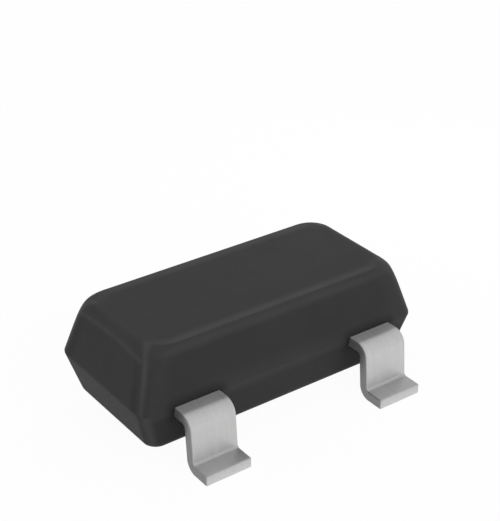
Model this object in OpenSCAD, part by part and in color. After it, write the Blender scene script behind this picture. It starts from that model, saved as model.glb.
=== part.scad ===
// Three-lead surface-mount transistor in a moulded SOT-23 body. Units are millimetres.
// X runs along the body, the two-lead side faces -Y, Z = 0 is the face of the board.

/* [Body] */
// length of the moulded body at its parting line
body_length = 2.99; // [2.80:0.01:3.20]
// width of the moulded body at its parting line
body_width = 1.40; // [1.20:0.01:1.60]
// height of the body above the parting line
upper_height = 0.53; // [0.42:0.005:0.65]
// depth of the body below the parting line
lower_depth = 0.45; // [0.36:0.005:0.55]
// air between the board and the underside of the body
standoff = 0.08; // [0.02:0.005:0.14]
// lean of the walls at the two ends, in degrees
end_draft = 17; // [6:0.5:22]
// lean of the walls along the two sides, in degrees
side_draft = 12; // [6:0.5:18]
// radius of the upright corners
corner_radius = 0.12; // [0.08:0.005:0.20]
// radius of the top edge at each end
end_edge_radius = 0.10; // [0.05:0.005:0.18]
// radius of the top edge along each side
side_edge_radius = 0.06; // [0.03:0.005:0.10]
// radius of the bottom edges
bottom_edge_radius = 0.12; // [0.05:0.005:0.15]

/* [Leads] */
// width of each lead
lead_width = 0.465; // [0.36:0.005:0.52]
// thickness of the lead frame
lead_thickness = 0.10; // [0.08:0.005:0.15]
// distance between the centres of the two leads on one side
lead_pitch = 1.90; // [1.78:0.01:2.04]
// how far the upper face of each lead stands above the parting line
lead_rise = 0.01; // [0.005:0.005:0.06]
// how far the top of each riser stands out from the parting line, to its outer face
riser_reach = 0.235; // [0.21:0.005:0.32]
// lean of each riser out of upright, in degrees
riser_lean = 5; // [0:0.5:10]
// inside radius of the upper bend
upper_bend = 0.035; // [0.02:0.005:0.09]
// inside radius of the lower bend
lower_bend = 0.025; // [0.02:0.005:0.08]
// length of the flat foot beyond the lower bend
foot_length = 0.17; // [0.12:0.005:0.30]

/* [Lead frame inside] */
// length of the pad that carries the chip, along X
paddle_length = 0.92; // [0.70:0.01:1.00]
// width of the pad that carries the chip, along Y
paddle_width = 0.62; // [0.54:0.01:0.76]
// length of each bonding post along X
post_length = 0.56; // [0.50:0.01:0.68]
// width of each bonding post along Y
post_width = 0.50; // [0.36:0.01:0.64]
// how deep in the body each post begins
post_inset = 0.22; // [0.14:0.01:0.30]

/* [Chip and wires] */
// side of the square chip
die_size = 0.36; // [0.30:0.01:0.44]
// thickness of the chip
die_thickness = 0.12; // [0.08:0.01:0.20]
// how far the layer under the chip shows all round it
attach_margin = 0.03; // [0.01:0.005:0.05]
// thickness of the layer under the chip
attach_thickness = 0.015; // [0.01:0.001:0.025]
// distance of each wire's ball from the middle of the chip
ball_offset = 0.09; // [0.06:0.005:0.11]
// diameter of the bond wire
wire_diameter = 0.025; // [0.018:0.001:0.035]
// diameter of the ball at the chip
ball_diameter = 0.07; // [0.05:0.005:0.08]
// height of the ball at the chip
ball_height = 0.02; // [0.012:0.001:0.03]
// straight rise of the wire above its ball
neck_height = 0.05; // [0.02:0.005:0.09]
// radius of the wire's loop above the neck
loop_radius = 0.06; // [0.04:0.005:0.09]
// distance of the wire's far end from the post's inner edge
stitch_inset = 0.15; // [0.08:0.01:0.24]
// how far the flattened end of the wire reaches beyond the wire's own print on the post
stitch_spread = 0.004; // [0.002:0.001:0.015]
// thickness of the flattened end of the wire on the post
stitch_height = 0.008; // [0.005:0.001:0.012]

/* [Hidden] */
$fn = 48;
mould_grey = [0.05, 0.05, 0.052];
tin_grey = [0.50, 0.50, 0.50];
solder_grey = [0.55, 0.55, 0.56];
silicon_blue = [0.20, 0.22, 0.27];
gold = [0.83, 0.62, 0.24];
// heights above the board
z_part = standoff + lower_depth;
z_lead = z_part + lead_rise;
z_frame = z_lead - lead_thickness;
z_die = z_lead + attach_thickness;
z_die_top = z_die + die_thickness;
// how far the middle of an edge round stands in from the parting line
function round_in(h, draft, r) = (h - r) * tan(draft) + r / cos(draft);
// the upright corners follow the line where an end wall and a side wall would meet
corner_tilt = atan(norm([tan(end_draft), tan(side_draft)]));
corner_turn = atan2(tan(side_draft), tan(end_draft));
corner_x = body_length / 2 - corner_radius / cos(end_draft);
corner_y = body_width / 2 - corner_radius / cos(side_draft);
// directions, seen along the corner, in which its round meets the end wall and the side wall
end_across = cos(end_draft) * cos(corner_tilt) * cos(corner_turn) + sin(end_draft) * sin(corner_tilt);
end_turn = atan2(cos(end_draft) * sin(corner_turn), end_across);
side_across = cos(side_draft) * cos(corner_tilt) * sin(corner_turn) + sin(side_draft) * sin(corner_tilt);
side_turn = atan2(cos(side_draft) * cos(corner_turn), side_across);
// each round is this much larger than one that would only touch the walls beside it
round_bite = 0.001;
// middles of the two bends of a lead, seen from the side
bend_y = body_width / 2 + riser_reach - upper_bend - lead_thickness;
bend_z = z_frame - upper_bend;
foot_z = lead_thickness + lower_bend;
bend_drop = bend_z - foot_z;
bend_gap = upper_bend + lead_thickness + lower_bend;
foot_y = bend_y + (bend_gap + bend_drop * sin(riser_lean)) / cos(riser_lean);
riser_length = (foot_y - bend_y) * sin(riser_lean) + bend_drop * cos(riser_lean);
// edges and middle of the posts
post_front = -body_width / 2 + post_inset;
post_middle = post_front + post_width / 2;
post_inner = lead_pitch / 2 - post_length / 2;
// side of the layer under the chip
attach_size = die_size + 2 * attach_margin;
// the run of a bond wire, from its ball to its far end on the post
stitch_x = post_inner + stitch_inset;
stitch_y = post_middle;
wire_turn = atan2(stitch_y, stitch_x - ball_offset);
loop_start = z_die_top + ball_height + neck_height;
wire_reach = norm([stitch_x - ball_offset, stitch_y]) - loop_radius;
wire_drop = loop_start - z_lead;
wire_fall = asin(loop_radius / norm([wire_reach, wire_drop])) + atan2(wire_drop, wire_reach);
// the slope is kept to a tenth of a degree, and the wire lands where that slope takes it
wire_slope = round(10 * wire_fall) / 10;
wire_level = wire_drop + loop_radius * cos(wire_slope);
wire_land = loop_radius * (1 + sin(wire_slope)) + wire_level / tan(wire_slope);
stitch_diameter = wire_diameter / sin(wire_slope) + 2 * stitch_spread;

// a slice of a disc, between two angles less than 180 degrees apart
module slice(r, from, to) {
    middle = (from + to) / 2;
    far = 2 * r / cos((to - from) / 2);
    intersection() {
        circle(r);
        polygon([
            [0, 0],
            far * [cos(from), sin(from)],
            far * [cos(middle), sin(middle)],
            far * [cos(to), sin(to)]
        ]);
    }
}

// a slice of a ring, for one bend of a lead
module bend(inside, from, to) {
    difference() {
        slice(inside + lead_thickness, from, to);
        circle(inside);
    }
}

// a quarter of a profile of the body, from the middle out to one wall
module profile_quarter(half, h, draft, r) {
    far = 2 * r;
    difference() {
        polygon([[0, 0], [half, 0], [half - h * tan(draft), h], [0, h]]);
        translate([half - round_in(h, draft, r), h - r])
            difference() {
                polygon([[0, 0], far * [cos(draft), sin(draft)], [far, far], [0, far]]);
                circle(r + round_bite);
            }
    }
}

// a whole profile of the body, with the parting line along X
module profile(half, draft, top_r) {
    for (side = [0, 1])
        mirror([side, 0]) {
            profile_quarter(half, upper_height, draft, top_r);
            mirror([0, 1])
                profile_quarter(half, lower_depth, draft, bottom_edge_radius);
        }
}

// removes the sharp upright edge of one corner above the parting line
module corner_round(h) {
    far = 3 * corner_radius;
    intersection() {
        translate([corner_x, corner_y, 0])
            rotate([0, -corner_tilt, corner_turn])
                linear_extrude(4 * h, center = true)
                    difference() {
                        polygon([
                            [0, 0],
                            far * [cos(end_turn), -sin(end_turn)],
                            [2 * far, 0],
                            far * [cos(side_turn), sin(side_turn)]
                        ]);
                        circle(corner_radius + round_bite);
                    }
        cube([body_length, body_width, 2 * h]);
    }
}

module body_solid() {
    translate([0, 0, z_part])
        difference() {
            intersection() {
                rotate([90, 0, 0])
                    linear_extrude(2 * body_width, center = true)
                        profile(body_length / 2, end_draft, end_edge_radius);
                rotate([90, 0, 90])
                    linear_extrude(2 * body_length, center = true)
                        profile(body_width / 2, side_draft, side_edge_radius);
            }
            for (end = [0, 1], side = [0, 1])
                mirror([end, 0, 0])
                    mirror([0, side, 0]) {
                        corner_round(upper_height);
                        mirror([0, 0, 1])
                            corner_round(lower_depth);
                    }
        }
}

// the lead from inside the body to its tip, seen from the side, running out along +X of the drawing
module lead_outline(start) {
    translate([start, z_frame])
        square([bend_y - start, lead_thickness]);
    translate([bend_y, bend_z]) {
        bend(upper_bend, riser_lean, 90);
        rotate(riser_lean)
            translate([upper_bend, -riser_length])
                square([lead_thickness, riser_length]);
    }
    translate([foot_y, foot_z])
        bend(lower_bend, 180 + riser_lean, 270);
    translate([foot_y, 0])
        square([foot_length, lead_thickness]);
}

// one bent lead going out along +Y, beginning at the given distance from the middle
module lead_strip(start) {
    rotate([90, 0, 90])
        linear_extrude(lead_width, center = true)
            lead_outline(start);
}

// one front lead with its bonding post, on the +X side
module post_lead() {
    translate([lead_pitch / 2, 0, 0])
        mirror([0, 1, 0])
            lead_strip(-post_middle);
    translate([post_inner, post_front, z_frame])
        cube([post_length, post_width, lead_thickness]);
}

module paddle_lead() {
    lead_strip(0);
    translate([-paddle_length / 2, -paddle_width / 2, z_frame])
        cube([paddle_length, paddle_width, lead_thickness]);
}

module chip() {
    translate([-die_size / 2, -die_size / 2, z_die])
        cube([die_size, die_size, die_thickness]);
}

module attach_layer() {
    translate([-attach_size / 2, -attach_size / 2, z_lead])
        cube([attach_size, attach_size, attach_thickness]);
}

// the plane of a wire's loop, with the loop's middle as its origin and the neck at +X
module loop_frame() {
    translate([loop_radius, 0, loop_start])
        rotate([90, 0, 0])
            mirror([1, 0, 0])
                children();
}

// one bond wire, from the chip to the post on the +X side
module bond_wire() {
    translate([ball_offset, 0, 0])
        rotate([0, 0, wire_turn]) {
            translate([0, 0, z_die_top])
                cylinder(d = ball_diameter, h = ball_height);
            translate([0, 0, z_die_top + ball_height])
                cylinder(d = wire_diameter, h = neck_height);
            loop_frame()
                rotate_extrude(angle = 90 + wire_slope)
                    translate([loop_radius, 0])
                        circle(d = wire_diameter);
            intersection() {
                loop_frame()
                    rotate(90 + wire_slope)
                        translate([loop_radius, 0, 0])
                            rotate([-90, 0, 0])
                                cylinder(d = wire_diameter, h = 2 * wire_land);
                translate([0, -wire_diameter, z_lead])
                    cube([wire_land, 2 * wire_diameter, 2 * wire_drop]);
            }
            translate([wire_land, 0, z_lead])
                cylinder(d = stitch_diameter, h = stitch_height);
        }
}

module moulded_body() {
    color(mould_grey)
        difference() {
            body_solid();
            paddle_lead();
            attach_layer();
            chip();
            for (side = [0, 1])
                mirror([side, 0, 0]) {
                    post_lead();
                    bond_wire();
                }
        }
}

module collector_lead() {
    color(tin_grey)
        paddle_lead();
}

module base_lead() {
    color(tin_grey)
        mirror([1, 0, 0])
            post_lead();
}

module emitter_lead() {
    color(tin_grey)
        post_lead();
}

module die_attach() {
    color(solder_grey)
        attach_layer();
}

module silicon_die() {
    color(silicon_blue)
        chip();
}

module base_bond_wire() {
    color(gold)
        mirror([1, 0, 0])
            bond_wire();
}

module emitter_bond_wire() {
    color(gold)
        bond_wire();
}

moulded_body();
collector_lead();
base_lead();
emitter_lead();
die_attach();
silicon_die();
base_bond_wire();
emitter_bond_wire();
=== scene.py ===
"""Looks of a three-lead surface-mount transistor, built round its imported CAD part."""

import math

import bmesh
import bpy
from mathutils import Matrix, Vector


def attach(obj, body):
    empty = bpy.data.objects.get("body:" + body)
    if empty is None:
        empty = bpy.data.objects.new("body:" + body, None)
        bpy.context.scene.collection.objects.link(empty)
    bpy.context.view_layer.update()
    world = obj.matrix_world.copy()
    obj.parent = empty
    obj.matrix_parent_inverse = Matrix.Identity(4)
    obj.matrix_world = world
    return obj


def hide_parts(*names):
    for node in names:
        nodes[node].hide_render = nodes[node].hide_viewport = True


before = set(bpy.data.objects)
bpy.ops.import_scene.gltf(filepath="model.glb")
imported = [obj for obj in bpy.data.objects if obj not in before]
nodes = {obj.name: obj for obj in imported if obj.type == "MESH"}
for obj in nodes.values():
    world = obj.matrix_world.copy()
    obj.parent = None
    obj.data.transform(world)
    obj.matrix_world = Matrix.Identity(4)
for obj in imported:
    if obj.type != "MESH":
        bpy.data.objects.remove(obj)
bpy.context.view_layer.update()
scene = bpy.context.scene

# Shapes are drawn in millimetres and shrunk to metres at the end.
MM = 0.001

# angles in degrees between faces above which an edge is shaded as a hard one
BODY_CREASE, LEAD_CREASE = 28, 40

# moulded body: the CAD part's sizes
BODY_LENGTH, BODY_WIDTH = 2.99, 1.40
PARTING_Z, UPPER_HEIGHT, LOWER_DEPTH = 0.53, 0.53, 0.45
END_DRAFT, SIDE_DRAFT = math.radians(17), math.radians(12)
END_EDGE, SIDE_EDGE, BOTTOM_EDGE = 0.10, 0.06, 0.12

# moulded body: finishing rounds, with upright corners that grow rounder close to the top face
PARTING_ROUND = 0.06
CORNER_AT_PARTING, CORNER_AT_TOP, CORNER_GROWTH = 0.118, 0.23, 7

# moulded body: where its mesh has points, which are closer where its tone changes quickly
ROUND_STEPS = 14
SIDE_SPANS = 16
END_SHARES = (0.03, 0.07, 0.11, 0.16, 0.24, 0.35)
FIRST_LEVEL, COARSE_SPANS = 0.04, 6
FINE_BAND, FINE_STEP, FINE_LEVELS = 0.09, 0.0112, 9
LEAST_STEP = 0.001
TOP_RIMS = (0.015, 0.03, 0.045, 0.065, 0.10)

# leads: the CAD part's sizes
LEAD_WIDTH, LEAD_THICKNESS, LEAD_PITCH = 0.465, 0.10, 1.90
FRAME_Z = 0.44
RISER_REACH, RISER_LEAN = 0.235, math.radians(5)
UPPER_BEND, LOWER_BEND, FOOT_LENGTH = 0.035, 0.025, 0.17
BEND_Y = BODY_WIDTH / 2 + RISER_REACH - UPPER_BEND - LEAD_THICKNESS
BEND_Z = FRAME_Z - UPPER_BEND
FOOT_Z = LEAD_THICKNESS + LOWER_BEND
BEND_GAP = UPPER_BEND + LEAD_THICKNESS + LOWER_BEND
FOOT_Y = BEND_Y + (BEND_GAP + (BEND_Z - FOOT_Z) * math.sin(RISER_LEAN)) / math.cos(RISER_LEAN)
LEAD_TIP = FOOT_Y + FOOT_LENGTH
POST_LENGTH, POST_FRONT, POST_BACK = 0.56, 0.48, -0.02
PADDLE_LENGTH, PADDLE_HALF = 0.92, 0.31
# node, place along the body, side, and length, start and end of the wide part inside the body
LEADS = (
    ("base_lead", -LEAD_PITCH / 2, -1, POST_LENGTH, POST_BACK, POST_FRONT),
    ("emitter_lead", LEAD_PITCH / 2, -1, POST_LENGTH, POST_BACK, POST_FRONT),
    ("collector_lead", 0.0, 1, PADDLE_LENGTH, -PADDLE_HALF, PADDLE_HALF),
)

# leads: rounded edges, the taper behind the wide part, and points round each bend and edge
LEAD_EDGE, NECK_TAPER = 0.014, 0.03
BEND_STEPS, LEAD_EDGE_STEPS = 18, 4


def new_object(name, bm):
    """An object in the scene made from a bmesh, which is used up."""
    bmesh.ops.recalc_face_normals(bm, faces=bm.faces)
    mesh = bpy.data.meshes.new(name)
    bm.to_mesh(mesh)
    bm.free()
    obj = bpy.data.objects.new(name, mesh)
    scene.collection.objects.link(obj)
    return obj


def smooth(mesh, angle):
    """Smooth shading, with a hard edge where faces meet at more than this angle in degrees."""
    for polygon in mesh.polygons:
        polygon.use_smooth = True
    mesh.set_sharp_from_angle(angle=math.radians(angle))


def loft(bm, rings):
    """Joins rings of equally many points with quads and closes both ends."""
    made = [[bm.verts.new(p) for p in ring] for ring in rings]
    for low, high in zip(made, made[1:]):
        count = len(low)
        for i in range(count):
            j = (i + 1) % count
            bm.faces.new((low[i], low[j], high[j], high[i]))
    bm.faces.new(made[0])
    bm.faces.new(made[-1])


def rounded_rectangle(half_x, half_y, radius, steps, along_x=(), along_y=()):
    """Points round a rectangle, with some on its straight sides at these shares of their length."""
    points = []
    for sx, sy, start in ((1, 1, 0), (-1, 1, 90), (-1, -1, 180), (1, -1, 270)):
        for i in range(steps + 1):
            a = math.radians(start + 90 * i / steps)
            x = sx * (half_x - radius) + radius * math.cos(a)
            y = sy * (half_y - radius) + radius * math.sin(a)
            points.append((x, y))
        if sx == sy:
            run = sx * (half_x - radius)
            points += [(run * (1 - 2 * share), sy * half_y) for share in along_x]
        else:
            run = sy * (half_y - radius)
            points += [(sx * half_x, run * (1 - 2 * share)) for share in along_y]
    return points


def near(value, centre, width):
    """1 at the centre, falling evenly to 0 at this distance from it."""
    return max(0.0, 1 - abs(value - centre) / width)


def fade(value, zero, one):
    """0 at one end of a stretch and 1 at the other."""
    return min(1.0, max(0.0, (value - zero) / (one - zero)))


def paint(mesh, tones):
    """Keeps a tone of painted light and shade for each point of a mesh, which its material reads.
    """
    layer = mesh.attributes.new("tone", "FLOAT", "POINT")
    layer.data.foreach_set("value", tones)


# shape of the body

# below and above the parting line: height, edge rounds at the ends and along the sides,
# and radius of the upright corners at the underside or the top
HALVES = {
    -1: (LOWER_DEPTH, BOTTOM_EDGE, BOTTOM_EDGE, CORNER_AT_PARTING),
    1: (UPPER_HEIGHT, END_EDGE, SIDE_EDGE, CORNER_AT_TOP),
}


def inset(height, draft, radius, z):
    """How far a wall stands in at z from the parting line, for a half of that height."""
    if z < PARTING_ROUND * math.sin(draft):
        return PARTING_ROUND / math.cos(draft) - math.sqrt(PARTING_ROUND**2 - z * z)
    centre = height - radius
    if z <= centre + radius * math.sin(draft):
        return z * math.tan(draft)
    reach = math.sqrt(max(radius**2 - (z - centre) ** 2, 0))
    return centre * math.tan(draft) + radius / math.cos(draft) - reach


def section(sign, z):
    """Half length, half width and corner radius of the body at z from the parting line."""
    height, end_radius, side_radius, corner_at_face = HALVES[sign]
    half_x = BODY_LENGTH / 2 - inset(height, END_DRAFT, end_radius, z)
    half_y = BODY_WIDTH / 2 - inset(height, SIDE_DRAFT, side_radius, z)
    growth = (z / height) ** CORNER_GROWTH
    return half_x, half_y, CORNER_AT_PARTING + (corner_at_face - CORNER_AT_PARTING) * growth


def body_ring(half_x, half_y, radius, z):
    """Points round the body at one height."""
    along_x = [i / SIDE_SPANS for i in range(1, SIDE_SPANS)]
    along_y = [*END_SHARES, 0.5, *(1 - share for share in END_SHARES[::-1])]
    flat = rounded_rectangle(half_x, half_y, radius, ROUND_STEPS, along_x, along_y)
    return [(x, y, z) for x, y in flat]


def body_levels(height, end_radius, side_radius):
    """Distances from the parting line at which a section is drawn."""
    parting = PARTING_ROUND * math.sin(SIDE_DRAFT)
    levels = [parting / 2, parting, PARTING_ROUND * math.sin(END_DRAFT)]
    straight = height - end_radius
    coarse = (straight - FINE_BAND - FIRST_LEVEL) / COARSE_SPANS
    levels += [FIRST_LEVEL + coarse * i for i in range(COARSE_SPANS + 1)]
    levels += [straight - FINE_BAND + FINE_STEP * i for i in range(1, FINE_LEVELS + 1)]
    for radius, draft in ((end_radius, END_DRAFT), (side_radius, SIDE_DRAFT)):
        for i in range(ROUND_STEPS + 1):
            a = draft + (math.pi / 2 - draft) * i / ROUND_STEPS
            levels.append(height - radius + radius * math.sin(a))
    apart = []
    for z in sorted(levels, reverse=True):
        if not apart or apart[-1] - z > LEAST_STEP:
            apart.append(z)
    return apart[::-1]


def body_rings():
    """Level sections of the body from the underside to the top, and rims on the top face."""
    rings = []
    for sign in (-1, 1):
        height, end_radius, side_radius, _ = HALVES[sign]
        levels = body_levels(height, end_radius, side_radius)
        if sign < 0:
            levels = levels[::-1] + [0.0]
        for z in levels:
            half_x, half_y, corner = section(sign, z)
            rings.append(body_ring(half_x, half_y, corner, PARTING_Z + sign * z))
    for rim in TOP_RIMS:
        rings.append(body_ring(half_x - rim, half_y - rim, corner - rim, PARTING_Z + height))
    return rings


# painted light and shade on the body: 1 is plain, more is painted light and less is painted shade

# the top face: painted light over all of it, with a painted highlight rim just inside its edges,
# stronger along the sides
TOP_TONE, TOP_END_RIM, TOP_SIDE_RIM = 1.2, 0.08, 0.75
TOP_END_RIM_STRETCH, TOP_SIDE_RIM_STRETCH = (0.05, 0.0), (0.1, 0.037)
# end walls above the parting line: painted light that grows towards the top, and a painted
# highlight line that sags towards the corners
END_WALL, END_WALL_RISE, END_WALL_TOP = 0.07, 0.36, UPPER_HEIGHT - 0.06
END_LINE, END_LINE_Z, END_LINE_WIDTH = 0.75, 0.454, 0.045
END_LINE_SAG, END_LINE_POWER = 0.085, 1.5
# side walls above the parting line: painted shade over the wall, with painted highlights at the top
# edge and just above the parting line
SIDE_WALL, SIDE_TOP_HIGHLIGHT, SIDE_PARTING_HIGHLIGHT = -0.16, 0.46, 0.24
SIDE_EDGE_Z = UPPER_HEIGHT - SIDE_EDGE * (1 - math.sin(SIDE_DRAFT))
SIDE_TOP_STRETCH, SIDE_PARTING_STRETCH = (SIDE_EDGE_Z - 0.05, SIDE_EDGE_Z + 0.01), (0.15, 0.0)
# upright corners above the parting line: a painted highlight strip, and a painted shade strip
# beside it on the end wall
CORNER_STRIP, CORNER_STRIP_RISE, CORNER_STRIP_STRETCH = 0.8, 0.4, (0.1, 0.4)
CORNER_STRIP_TURN, CORNER_STRIP_SPREAD = 24, 22
SHADE_STRIP, SHADE_STRIP_RISE, SHADE_STRIP_STRETCH = 0.25, 0.35, (0.4, 0.1)
SHADE_STRIP_PLACE, SHADE_STRIP_WIDTH, SHADE_STRIP_TOP = -0.05, 0.05, 0.4
# below the parting line: painted shade on the walls, deepest on the end walls by the parting line
# and lifted on the side walls near it, with a painted highlight strip and a painted shade strip
# round the corners
LOWER_END, LOWER_END_SHADE, LOWER_END_STRETCH = 0.68, 0.15, (0.05, 0.0)
LOWER_SIDE, LOWER_SIDE_HIGHLIGHT, LOWER_SIDE_STRETCH = 0.66, 0.38, (0.1, 0.02)
LOWER_STRIP, LOWER_STRIP_TURN, LOWER_STRIP_SPREAD = 0.75, 48, 28
LOWER_SHADE_STRIP, LOWER_SHADE_TURN, LOWER_SHADE_SPREAD = 0.3, 12, 16
# how close a point has to be to count as on the top face, the outside or the parting line
ON_TOP, ON_OUTSIDE, ON_PARTING = 1e-5, 0.01, 1e-6


def round_corner(end, side, turn):
    """A value at the ends that becomes another along the sides, going round a corner."""
    return end + (side - end) * turn / 90


def on_corner(turn):
    """Whether a turn, in degrees from an end towards a side, is part way round a corner."""
    return 0 < turn < 90


def top_tone(inside, turn):
    """Painted light on the top face at a distance inside its outline."""
    end_rim = TOP_END_RIM * fade(inside, *TOP_END_RIM_STRETCH)
    side_rim = TOP_SIDE_RIM * fade(inside, *TOP_SIDE_RIM_STRETCH)
    return TOP_TONE + round_corner(end_rim, side_rim, turn)


def end_wall_painted_light(y, z):
    """How much painted light makes an end wall paler than plain above the parting line."""
    line = END_LINE_Z - END_LINE_SAG * y**END_LINE_POWER
    wall = END_WALL + END_WALL_RISE * fade(z, line, END_WALL_TOP)
    return max(wall, END_LINE * near(z, line, END_LINE_WIDTH))


def side_wall_light_and_shade(z):
    """Painted light and shade on a side wall above the parting line: darker than plain, with
    painted highlights at the top edge and just above the parting line.
    """
    at_top = SIDE_TOP_HIGHLIGHT * fade(z, *SIDE_TOP_STRETCH)
    at_parting = SIDE_PARTING_HIGHLIGHT * fade(z, *SIDE_PARTING_STRETCH)
    return SIDE_WALL + max(at_top, at_parting)


def upper_tone(y, z, turn):
    """Painted light and shade of the walls and corners above the parting line."""
    light_and_shade = round_corner(end_wall_painted_light(y, z), side_wall_light_and_shade(z), turn)
    if on_corner(turn):
        strip = CORNER_STRIP + CORNER_STRIP_RISE * fade(z, *CORNER_STRIP_STRETCH)
        light_and_shade = max(light_and_shade, strip * near(turn, CORNER_STRIP_TURN, CORNER_STRIP_SPREAD))
    return 1 + light_and_shade


def shade_strip(along, z):
    """How much painted shade darkens an end wall in the strip beside a corner."""
    strip = SHADE_STRIP + SHADE_STRIP_RISE * fade(z, *SHADE_STRIP_STRETCH)
    strip *= near(along, SHADE_STRIP_PLACE, SHADE_STRIP_WIDTH)
    return strip * fade(z, UPPER_HEIGHT, SHADE_STRIP_TOP)


def lower_tone(z, turn):
    """Painted light and shade of the walls and corners below the parting line."""
    end = LOWER_END - LOWER_END_SHADE * fade(z, *LOWER_END_STRETCH)
    side = LOWER_SIDE + LOWER_SIDE_HIGHLIGHT * fade(z, *LOWER_SIDE_STRETCH)
    strip = 0.0
    if on_corner(turn):
        strip += LOWER_STRIP * near(turn, LOWER_STRIP_TURN, LOWER_STRIP_SPREAD)
        strip -= LOWER_SHADE_STRIP * near(turn, LOWER_SHADE_TURN, LOWER_SHADE_SPREAD)
    return round_corner(end, side, turn) + strip


def body_tone(point):
    """Painted light and shade of the compound at a point of the body's mesh, which is plain in the
    pockets.
    """
    x, y, z = abs(point.x) / MM, abs(point.y) / MM, point.z / MM - PARTING_Z
    sign = 1 if z > -ON_PARTING else -1
    z = min(abs(z), HALVES[sign][0])
    half_x, half_y, corner = section(sign, z)
    across, along = x - (half_x - corner), y - (half_y - corner)
    inside = corner - math.hypot(max(across, 0), max(along, 0)) - min(max(across, along), 0)
    if across > 0 and along > 0:
        turn = math.degrees(math.atan2(along, across))
    else:
        turn = 0.0 if across > along else 90.0
    if sign > 0 and z > UPPER_HEIGHT - ON_TOP:
        return top_tone(inside, turn)
    if inside > ON_OUTSIDE:
        return 1.0
    if sign < 0:
        return lower_tone(z, turn)
    return upper_tone(y, z, turn) - (shade_strip(along, z) if across > 0 else 0.0)


# making the body


def sealed_pieces():
    """One object, in millimetres, of everything the compound is moulded round."""
    bm = bmesh.new()
    for name, node in nodes.items():
        if name != "moulded_body":
            bm.from_mesh(node.data)
    bmesh.ops.remove_doubles(bm, verts=bm.verts, dist=1e-9)
    bm.transform(Matrix.Scale(1 / MM, 4))
    return new_object("sealed_pieces", bm)


def split_wide_faces(mesh):
    """Cuts faces of many sides, or with a corner on a straight side, into good triangles."""
    bm = bmesh.new()
    bm.from_mesh(mesh)
    straight = math.radians(179.9)
    wide = [
        face
        for face in bm.faces
        if len(face.verts) > 4 or max(loop.calc_angle() for loop in face.loops) > straight
    ]
    bmesh.ops.triangulate(bm, faces=wide, quad_method="BEAUTY", ngon_method="BEAUTY")
    bm.to_mesh(mesh)
    bm.free()


def build_body():
    """The moulding, with pockets for what is sealed in it."""
    bm = bmesh.new()
    loft(bm, body_rings())
    body = new_object("body_moulding", bm)
    inside = sealed_pieces()
    cut = body.modifiers.new("pockets", "BOOLEAN")
    cut.operation = "DIFFERENCE"
    cut.solver = "EXACT"
    cut.use_self = True
    cut.object = inside
    evaluated = body.evaluated_get(bpy.context.evaluated_depsgraph_get())
    shaped = bpy.data.meshes.new_from_object(evaluated)
    body.modifiers.clear()
    body.data = shaped
    bpy.data.objects.remove(inside)
    split_wide_faces(shaped)
    shaped.transform(Matrix.Scale(MM, 4))
    smooth(shaped, BODY_CREASE)
    # painted light and shade on the compound, kept as a tone for each point
    paint(shaped, [body_tone(v.co) for v in shaped.vertices])
    return body


# leads

# painted shade on the sheared sides and on the top of the foot, and a painted highlight on the cut
# tip: how much each darkens or lightens the tin
SHEARED_SIDE_SHADE, FOOT_SHADE, TIP_HIGHLIGHT = 0.53, 0.18, 0.09
# where these begin: shares of the edge round, distances past the bend, shares of the thickness
SHEARED_RIM, CUT_RIM = 0.6 * LEAD_EDGE, 0.3 * LEAD_EDGE
FOOT_SHADE_OUT = (FOOT_Y - LOWER_BEND + 0.0005, FOOT_Y - LOWER_BEND + 0.004)
FOOT_SHADE_UP = (0.6 * LEAD_THICKNESS, 0.95 * LEAD_THICKNESS)
# share of its radius that a lead's edge loses towards the rim of the lead's end
RIM_SHRINK = 0.96


def lead_path():
    """The middle of a lead from its first bend to its lower one: distance out, height, turn."""
    half = LEAD_THICKNESS / 2
    upper, lower = UPPER_BEND + half, LOWER_BEND + half
    turns = [(math.pi / 2 - RISER_LEAN) * i / BEND_STEPS for i in range(BEND_STEPS + 1)]
    path = [(BEND_Y + upper * math.sin(a), BEND_Z + upper * math.cos(a), -a) for a in turns]
    for a in turns[::-1]:
        path.append((FOOT_Y - lower * math.sin(a), FOOT_Z - lower * math.cos(a), -a))
    return path


def lead_section(x, point, half_width, half_thick, radius=LEAD_EDGE):
    """A rounded rectangle across the lead at one point of its path."""
    out, height, turn = point
    flat = rounded_rectangle(half_width, half_thick, radius, LEAD_EDGE_STEPS)
    return [(x + a, out - b * math.sin(turn), height + b * math.cos(turn)) for a, b in flat]


def rounded_end(x, end, direction, half_width, half_thick):
    """Sections from the rim of a lead's end inwards, the rim as rounded as the lead's edges."""
    out, height = end
    rings = []
    for i in range(LEAD_EDGE_STEPS + 1):
        a = math.pi / 2 * (1 - i / LEAD_EDGE_STEPS)
        back, drop = LEAD_EDGE * (1 - math.sin(a)), LEAD_EDGE * (1 - math.cos(a))
        point = (out - direction * back, height, 0.0)
        radius = LEAD_EDGE - RIM_SHRINK * drop
        rings.append(lead_section(x, point, half_width - drop, half_thick - drop, radius))
    return rings


def lead_tone(point, x):
    """Painted light and shade on the tin at a point: 1 is plain, less is painted shade on the
    sheared sides and the foot top, more is a painted highlight on the cut tip.
    """
    across = abs(point.x / MM - x)
    out, z = abs(point.y) / MM, point.z / MM
    sheared = fade(across, LEAD_WIDTH / 2 - SHEARED_RIM, LEAD_WIDTH / 2)
    on_foot_top = fade(out, *FOOT_SHADE_OUT) * fade(z, *FOOT_SHADE_UP)
    cut = fade(out, LEAD_TIP - CUT_RIM, LEAD_TIP)
    return 1 - SHEARED_SIDE_SHADE * sheared - FOOT_SHADE * on_foot_top * (1 - sheared) + TIP_HIGHLIGHT * cut


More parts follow.
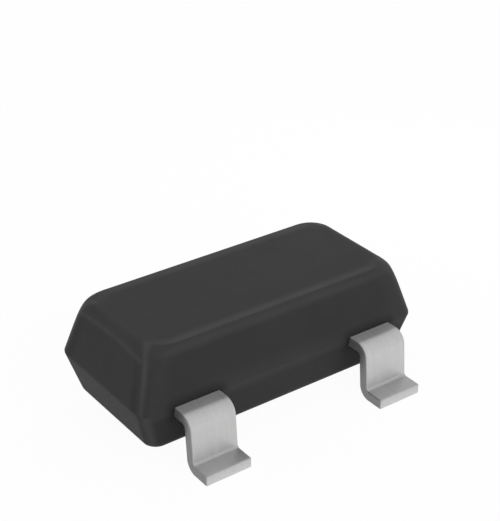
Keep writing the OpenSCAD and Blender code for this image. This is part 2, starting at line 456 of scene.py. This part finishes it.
def build_lead(name, x, side, wide, wide_start, wide_end):
    """A lead that goes out on one side of the body, with its wide part inside the body."""
    half_width, half_wide, half_thick = LEAD_WIDTH / 2, wide / 2, LEAD_THICKNESS / 2
    middle = FRAME_Z + half_thick
    rings = rounded_end(x, (wide_start, middle), -1, half_wide, half_thick)
    rings.append(lead_section(x, (wide_end - NECK_TAPER, middle, 0.0), half_wide, half_thick))
    rings.append(lead_section(x, (wide_end, middle, 0.0), half_width, half_thick))
    rings += [lead_section(x, point, half_width, half_thick) for point in lead_path()]
    rings += rounded_end(x, (LEAD_TIP, half_thick), 1, half_width, half_thick)[::-1]
    bm = bmesh.new()
    loft(bm, [[(px, side * py, pz) for px, py, pz in ring] for ring in rings])
    bm.transform(Matrix.Scale(MM, 4))
    lead = new_object(name, bm)
    smooth(lead.data, LEAD_CREASE)
    # painted shade on the sides and the foot top, and a painted highlight on the tip, kept as a
    # tone for each point
    paint(lead.data, [lead_tone(v.co, x) for v in lead.data.vertices])
    return lead


# shader nodes


def grey(value):
    """A colour without hue."""
    return (value, value, value)


def new_material(name, colour, metallic, roughness, specular):
    """A material with its node tree and its shader, set to plain values."""
    material = bpy.data.materials.new(name)
    material.use_nodes = True
    tree = material.node_tree
    shader = tree.nodes["Principled BSDF"]
    shader.inputs["Base Color"].default_value = (*colour, 1)
    shader.inputs["Metallic"].default_value = metallic
    shader.inputs["Roughness"].default_value = roughness
    shader.inputs["Specular IOR Level"].default_value = specular
    return material, tree, shader


def place(tree, stretch=(1, 1, 1)):
    """Object coordinates in millimetres, stretched per axis."""
    where = tree.nodes.new("ShaderNodeTexCoord")
    mapping = tree.nodes.new("ShaderNodeMapping")
    mapping.inputs["Scale"].default_value = [s / MM for s in stretch]
    tree.links.new(where.outputs["Object"], mapping.inputs["Vector"])
    return mapping.outputs["Vector"]


def noise(tree, vector, scale, detail=2.0, rough=0.5):
    """A noise value that mostly stays between 0.3 and 0.7."""
    node = tree.nodes.new("ShaderNodeTexNoise")
    node.inputs["Scale"].default_value = scale
    node.inputs["Detail"].default_value = detail
    node.inputs["Roughness"].default_value = rough
    tree.links.new(vector, node.inputs["Vector"])
    return node.outputs["Fac"]


def spread(tree, value, low, high, source=(0.3, 0.7)):
    """Maps a stretch of a value onto another."""
    node = tree.nodes.new("ShaderNodeMapRange")
    node.inputs["From Min"].default_value, node.inputs["From Max"].default_value = source
    node.inputs["To Min"].default_value, node.inputs["To Max"].default_value = low, high
    tree.links.new(value, node.inputs["Value"])
    return node.outputs["Result"]


def blend_colours(tree, value, dark, light, source=(0.3, 0.7)):
    """Maps a stretch of a value onto the colours between two."""
    ramp = tree.nodes.new("ShaderNodeValToRGB")
    for element, position, colour in zip(ramp.color_ramp.elements, source, (dark, light)):
        element.position = position
        element.color = (*colour, 1)
    tree.links.new(value, ramp.inputs["Fac"])
    return ramp.outputs["Color"]


def multiply(tree, first, *others):
    """The product of colours."""
    for other in others:
        node = tree.nodes.new("ShaderNodeMix")
        node.data_type = "RGBA"
        node.blend_type = "MULTIPLY"
        node.inputs["Factor"].default_value = 1.0
        tree.links.new(first, node.inputs["A"])
        tree.links.new(other, node.inputs["B"])
        first = node.outputs["Result"]
    return first


def bump(tree, shader, height, distance, strength):
    """Gives a shader the relief of a height, over this distance in millimetres."""
    node = tree.nodes.new("ShaderNodeBump")
    node.inputs["Distance"].default_value = distance * MM
    node.inputs["Strength"].default_value = strength
    tree.links.new(height, node.inputs["Height"])
    tree.links.new(node.outputs["Normal"], shader.inputs["Normal"])


def painted_light_and_shade(tree):
    """The painted light and shade kept as a tone on the points of a mesh."""
    node = tree.nodes.new("ShaderNodeAttribute")
    node.attribute_name = "tone"
    return node.outputs["Fac"]


def arithmetic(tree, operation, a, b):
    """A Math node on two values, of which the second may be a plain number."""
    node = tree.nodes.new("ShaderNodeMath")
    node.operation = operation
    tree.links.new(a, node.inputs[0])
    if isinstance(b, float):
        node.inputs[1].default_value = b
    else:
        tree.links.new(b, node.inputs[1])
    return node.outputs[0]


def vector_math(tree, operation, a, b=None):
    """A Vector Math node on a vector and, where the operation takes one, a constant."""
    node = tree.nodes.new("ShaderNodeVectorMath")
    node.operation = operation
    tree.links.new(a, node.inputs[0])
    if b is not None:
        node.inputs[1].default_value = b
    return node.outputs["Value" if operation == "LENGTH" else "Vector"]


# materials


def painted_shade_by_leads(tree, vector, reach, darkest):
    """Painted shade on the compound close to where the leads leave the body."""
    lead = (LEAD_WIDTH / 2, LEAD_WIDTH / 2, LEAD_THICKNESS / 2)
    nearest = None
    for _, x, side, *_ in LEADS:
        exit_point = (x, side * BODY_WIDTH / 2, FRAME_Z + LEAD_THICKNESS / 2)
        aside = vector_math(tree, "SUBTRACT", vector, exit_point)
        beyond = vector_math(tree, "SUBTRACT", vector_math(tree, "ABSOLUTE", aside), lead)
        outside = vector_math(tree, "MAXIMUM", beyond, (0, 0, 0))
        distance = vector_math(tree, "LENGTH", outside)
        if nearest is None:
            nearest = distance
        else:
            nearest = arithmetic(tree, "MINIMUM", nearest, distance)
    return blend_colours(tree, nearest, grey(darkest), grey(1.0), source=(0.0, reach))


def mould_compound():
    """Charcoal epoxy with the fine matte grain of an eroded mould."""
    material, tree, shader = new_material(
        "mould_compound", (0.028, 0.028, 0.0285), metallic=0.0, roughness=0.6, specular=0.2
    )
    vector = place(tree)
    grain = noise(tree, vector, scale=34, detail=3.0, rough=0.6)
    cloud = noise(tree, vector, scale=2.2, detail=3.0)
    tint = blend_colours(tree, cloud, (0.0265, 0.0265, 0.027), (0.0305, 0.0305, 0.031))
    speck = blend_colours(tree, grain, grey(0.90), grey(1.0))
    # painted shade round the lead exits
    dark = painted_shade_by_leads(tree, vector, reach=0.1, darkest=0.42)
    # the tone on the body's points is painted light and shade
    colour = multiply(tree, tint, speck, painted_light_and_shade(tree), dark)
    tree.links.new(colour, shader.inputs["Base Color"])
    tree.links.new(spread(tree, grain, low=0.56, high=0.66), shader.inputs["Roughness"])
    bump(tree, shader, grain, distance=0.004, strength=0.25)
    return material


def matte_tin():
    """Matte tin plate, with the rolled strip's faint streaks running along the lead."""
    material, tree, shader = new_material(
        "matte_tin", grey(0.585), metallic=0.68, roughness=0.43, specular=0.4
    )
    crystals = noise(tree, place(tree), scale=60)
    streaks = noise(tree, place(tree, (22, 1.4, 1.4)), scale=1.0, detail=4.0, rough=0.6)
    tint = blend_colours(tree, streaks, (0.56, 0.56, 0.555), (0.61, 0.61, 0.61))
    speck = blend_colours(tree, crystals, grey(0.93), grey(1.0))
    # the tone on the leads' points is painted shade on the sides and foot top and a painted
    # highlight on the tip
    colour = multiply(tree, tint, speck, painted_light_and_shade(tree))
    tree.links.new(colour, shader.inputs["Base Color"])
    tree.links.new(spread(tree, streaks, low=0.39, high=0.48), shader.inputs["Roughness"])
    bump(tree, shader, crystals, distance=0.002, strength=0.2)
    return material


def silver_epoxy():
    """Adhesive full of silver flakes."""
    material, tree, shader = new_material(
        "silver_epoxy", (0.55, 0.55, 0.56), metallic=0.6, roughness=0.55, specular=0.5
    )
    flakes = noise(tree, place(tree), scale=120, rough=0.7)
    colour = blend_colours(tree, flakes, (0.45, 0.45, 0.46), (0.64, 0.64, 0.65))
    tree.links.new(colour, shader.inputs["Base Color"])
    bump(tree, shader, flakes, distance=0.002, strength=0.4)
    return material


def sawn_silicon():
    """Silicon with the level marks of a saw."""
    material, tree, shader = new_material(
        "sawn_silicon", (0.20, 0.22, 0.27), metallic=0.35, roughness=0.25, specular=0.5
    )
    saw = noise(tree, place(tree, (2, 2, 90)), scale=1.0)
    colour = blend_colours(tree, saw, (0.18, 0.20, 0.245), (0.22, 0.24, 0.295))
    tree.links.new(colour, shader.inputs["Base Color"])
    tree.links.new(spread(tree, saw, low=0.18, high=0.36), shader.inputs["Roughness"])
    return material


def drawn_gold():
    """Bright drawn wire."""
    material, tree, shader = new_material(
        "drawn_gold", (0.83, 0.62, 0.24), metallic=1.0, roughness=0.2, specular=0.5
    )
    drawn = noise(tree, place(tree), scale=150)
    colour = blend_colours(tree, drawn, (0.79, 0.58, 0.21), (0.86, 0.65, 0.27))
    tree.links.new(colour, shader.inputs["Base Color"])
    tree.links.new(spread(tree, drawn, low=0.16, high=0.28), shader.inputs["Roughness"])
    return material


def dress(obj, material):
    """Gives an object this one material."""
    obj.data.materials.clear()
    obj.data.materials.append(material)


# pieces

body = build_body()
dress(body, mould_compound())
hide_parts("moulded_body")
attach(body, "root")

tin = matte_tin()
for node, x, side, wide, wide_start, wide_end in LEADS:
    lead = build_lead(node + "_formed", x, side, wide, wide_start, wide_end)
    dress(lead, tin)
    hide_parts(node)
    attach(lead, "root")

gold = drawn_gold()
for node, material, slot in (
    ("die_attach", silver_epoxy(), "attach_layer"),
    ("silicon_die", sawn_silicon(), "silicon"),
    ("base_bond_wire", gold, "gold_wire"),
    ("emitter_bond_wire", gold, "gold_wire"),
):
    dress(nodes[node], material)


# floor, light and camera

FLOOR_HALF, FLOOR_GREY = 0.4, 0.95
# shares of plain white that the floor and the world show to rays from the camera,
# to rays off metal and to rays through glass
FLOOR_WHITE, WORLD_WHITE = (0.96, 0.7, 0.96), (1.0, 0.4, 1.0)

# the photograph's view, found from the outline of the body and the corners of the leads
AZIMUTH, ELEVATION, ROLL = math.radians(-36.3243), math.radians(28.6673), math.radians(0.256)
TARGET = Vector((0, 0, 0.55))
DISTANCE, ASIDE, ABOVE = 12.5111, -0.0863, -0.6168
FOCAL_PIXELS, PHOTO_HEIGHT, SENSOR = 1368.2365, 521, 36
CLIP_START, CLIP_END = 0.0005, 2


def seen_directly(tree, camera, glossy, transmission):
    """How far a ray shows plain white: one from the camera, off metal or through glass."""
    path = tree.nodes.new("ShaderNodeLightPath")
    by_camera = arithmetic(tree, "MULTIPLY", path.outputs["Is Camera Ray"], camera)
    by_gloss = arithmetic(tree, "MULTIPLY", path.outputs["Is Glossy Ray"], glossy)
    by_glass = arithmetic(tree, "MULTIPLY", path.outputs["Is Transmission Ray"], transmission)
    return arithmetic(tree, "MAXIMUM", arithmetic(tree, "MAXIMUM", by_camera, by_gloss), by_glass)


def show_white(tree, shares, plain, white, output):
    """Joins a plain shader and a white one by what each ray should see."""
    mix = tree.nodes.new("ShaderNodeMixShader")
    tree.links.new(seen_directly(tree, *shares), mix.inputs["Fac"])
    tree.links.new(plain.outputs[0], mix.inputs[1])
    tree.links.new(white.outputs[0], mix.inputs[2])
    tree.links.new(mix.outputs[0], tree.nodes.new(output).inputs["Surface"])


def build_floor():
    """A matte white sheet, which the camera sees as almost plain white."""
    bm = bmesh.new()
    signs = ((-1, -1), (1, -1), (1, 1), (-1, 1))
    bm.faces.new([bm.verts.new((sx * FLOOR_HALF, sy * FLOOR_HALF, 0)) for sx, sy in signs])
    floor = new_object("floor", bm)
    material = bpy.data.materials.new("white_floor")
    material.use_nodes = True
    tree = material.node_tree
    tree.nodes.clear()
    diffuse = tree.nodes.new("ShaderNodeBsdfDiffuse")
    diffuse.inputs["Color"].default_value = (*grey(FLOOR_GREY), 1)
    glow = tree.nodes.new("ShaderNodeEmission")
    show_white(tree, FLOOR_WHITE, diffuse, glow, "ShaderNodeOutputMaterial")
    dress(floor, material)


def build_world(strength):
    """Even light from all round, which the camera sees as white."""
    world = bpy.data.worlds.new("studio")
    scene.world = world
    world.use_nodes = True
    tree = world.node_tree
    tree.nodes.clear()
    fill = tree.nodes.new("ShaderNodeBackground")
    fill.inputs["Strength"].default_value = strength
    white = tree.nodes.new("ShaderNodeBackground")
    for node in (fill, white):
        node.inputs["Color"].default_value = (1, 1, 1, 1)
    show_white(tree, WORLD_WHITE, fill, white, "ShaderNodeOutputWorld")


def add_lamp(lamp, direction):
    """Puts a lamp in the scene that shines from this direction and isn't mirrored in metal."""
    obj = bpy.data.objects.new(lamp.name, lamp)
    obj.rotation_mode = "QUATERNION"
    obj.rotation_quaternion = (-Vector(direction)).to_track_quat("-Z", "Y")
    obj.visible_glossy = False
    scene.collection.objects.link(obj)
    return obj


def soft_sun(name, direction, strength, angle):
    """A broad lamp far away."""
    lamp = bpy.data.lights.new(name, "SUN")
    lamp.energy = strength
    lamp.angle = math.radians(angle)
    add_lamp(lamp, direction)


def soft_panel(name, place_mm, size, power):
    """A square lamp close to the object, whose light falls off along it."""
    lamp = bpy.data.lights.new(name, "AREA")
    lamp.size = size * MM
    lamp.energy = power
    obj = add_lamp(lamp, place_mm)
    obj.location = Vector(place_mm) * MM
    obj.visible_camera = False


def build_camera():
    """A camera with the photograph's view."""
    level = math.cos(ELEVATION)
    back = Vector((math.sin(AZIMUTH) * level, -math.cos(AZIMUTH) * level, math.sin(ELEVATION)))
    flat_right = Vector((math.cos(AZIMUTH), math.sin(AZIMUTH), 0))
    flat_up = back.cross(flat_right)
    right = flat_right * math.cos(ROLL) + flat_up * math.sin(ROLL)
    up = flat_up * math.cos(ROLL) - flat_right * math.sin(ROLL)
    place_mm = TARGET + back * DISTANCE - right * ASIDE - up * ABOVE
    data = bpy.data.cameras.new("camera")
    data.sensor_width = SENSOR
    data.lens = FOCAL_PIXELS * SENSOR / PHOTO_HEIGHT
    data.clip_start, data.clip_end = CLIP_START, CLIP_END
    camera = bpy.data.objects.new("camera", data)
    turned = Matrix((right, up, back)).transposed().to_4x4()
    camera.matrix_world = Matrix.Translation(place_mm * MM) @ turned
    scene.collection.objects.link(camera)
    scene.camera = camera


build_floor()
build_world(strength=0.58)
soft_sun("key", direction=(0.15, -1.0, 0.42), strength=1.65, angle=60)
soft_panel("fill", place_mm=(5.0, 2.5, 4.5), size=3.0, power=6e-5)
build_camera()
scene.view_settings.view_transform = "Standard"
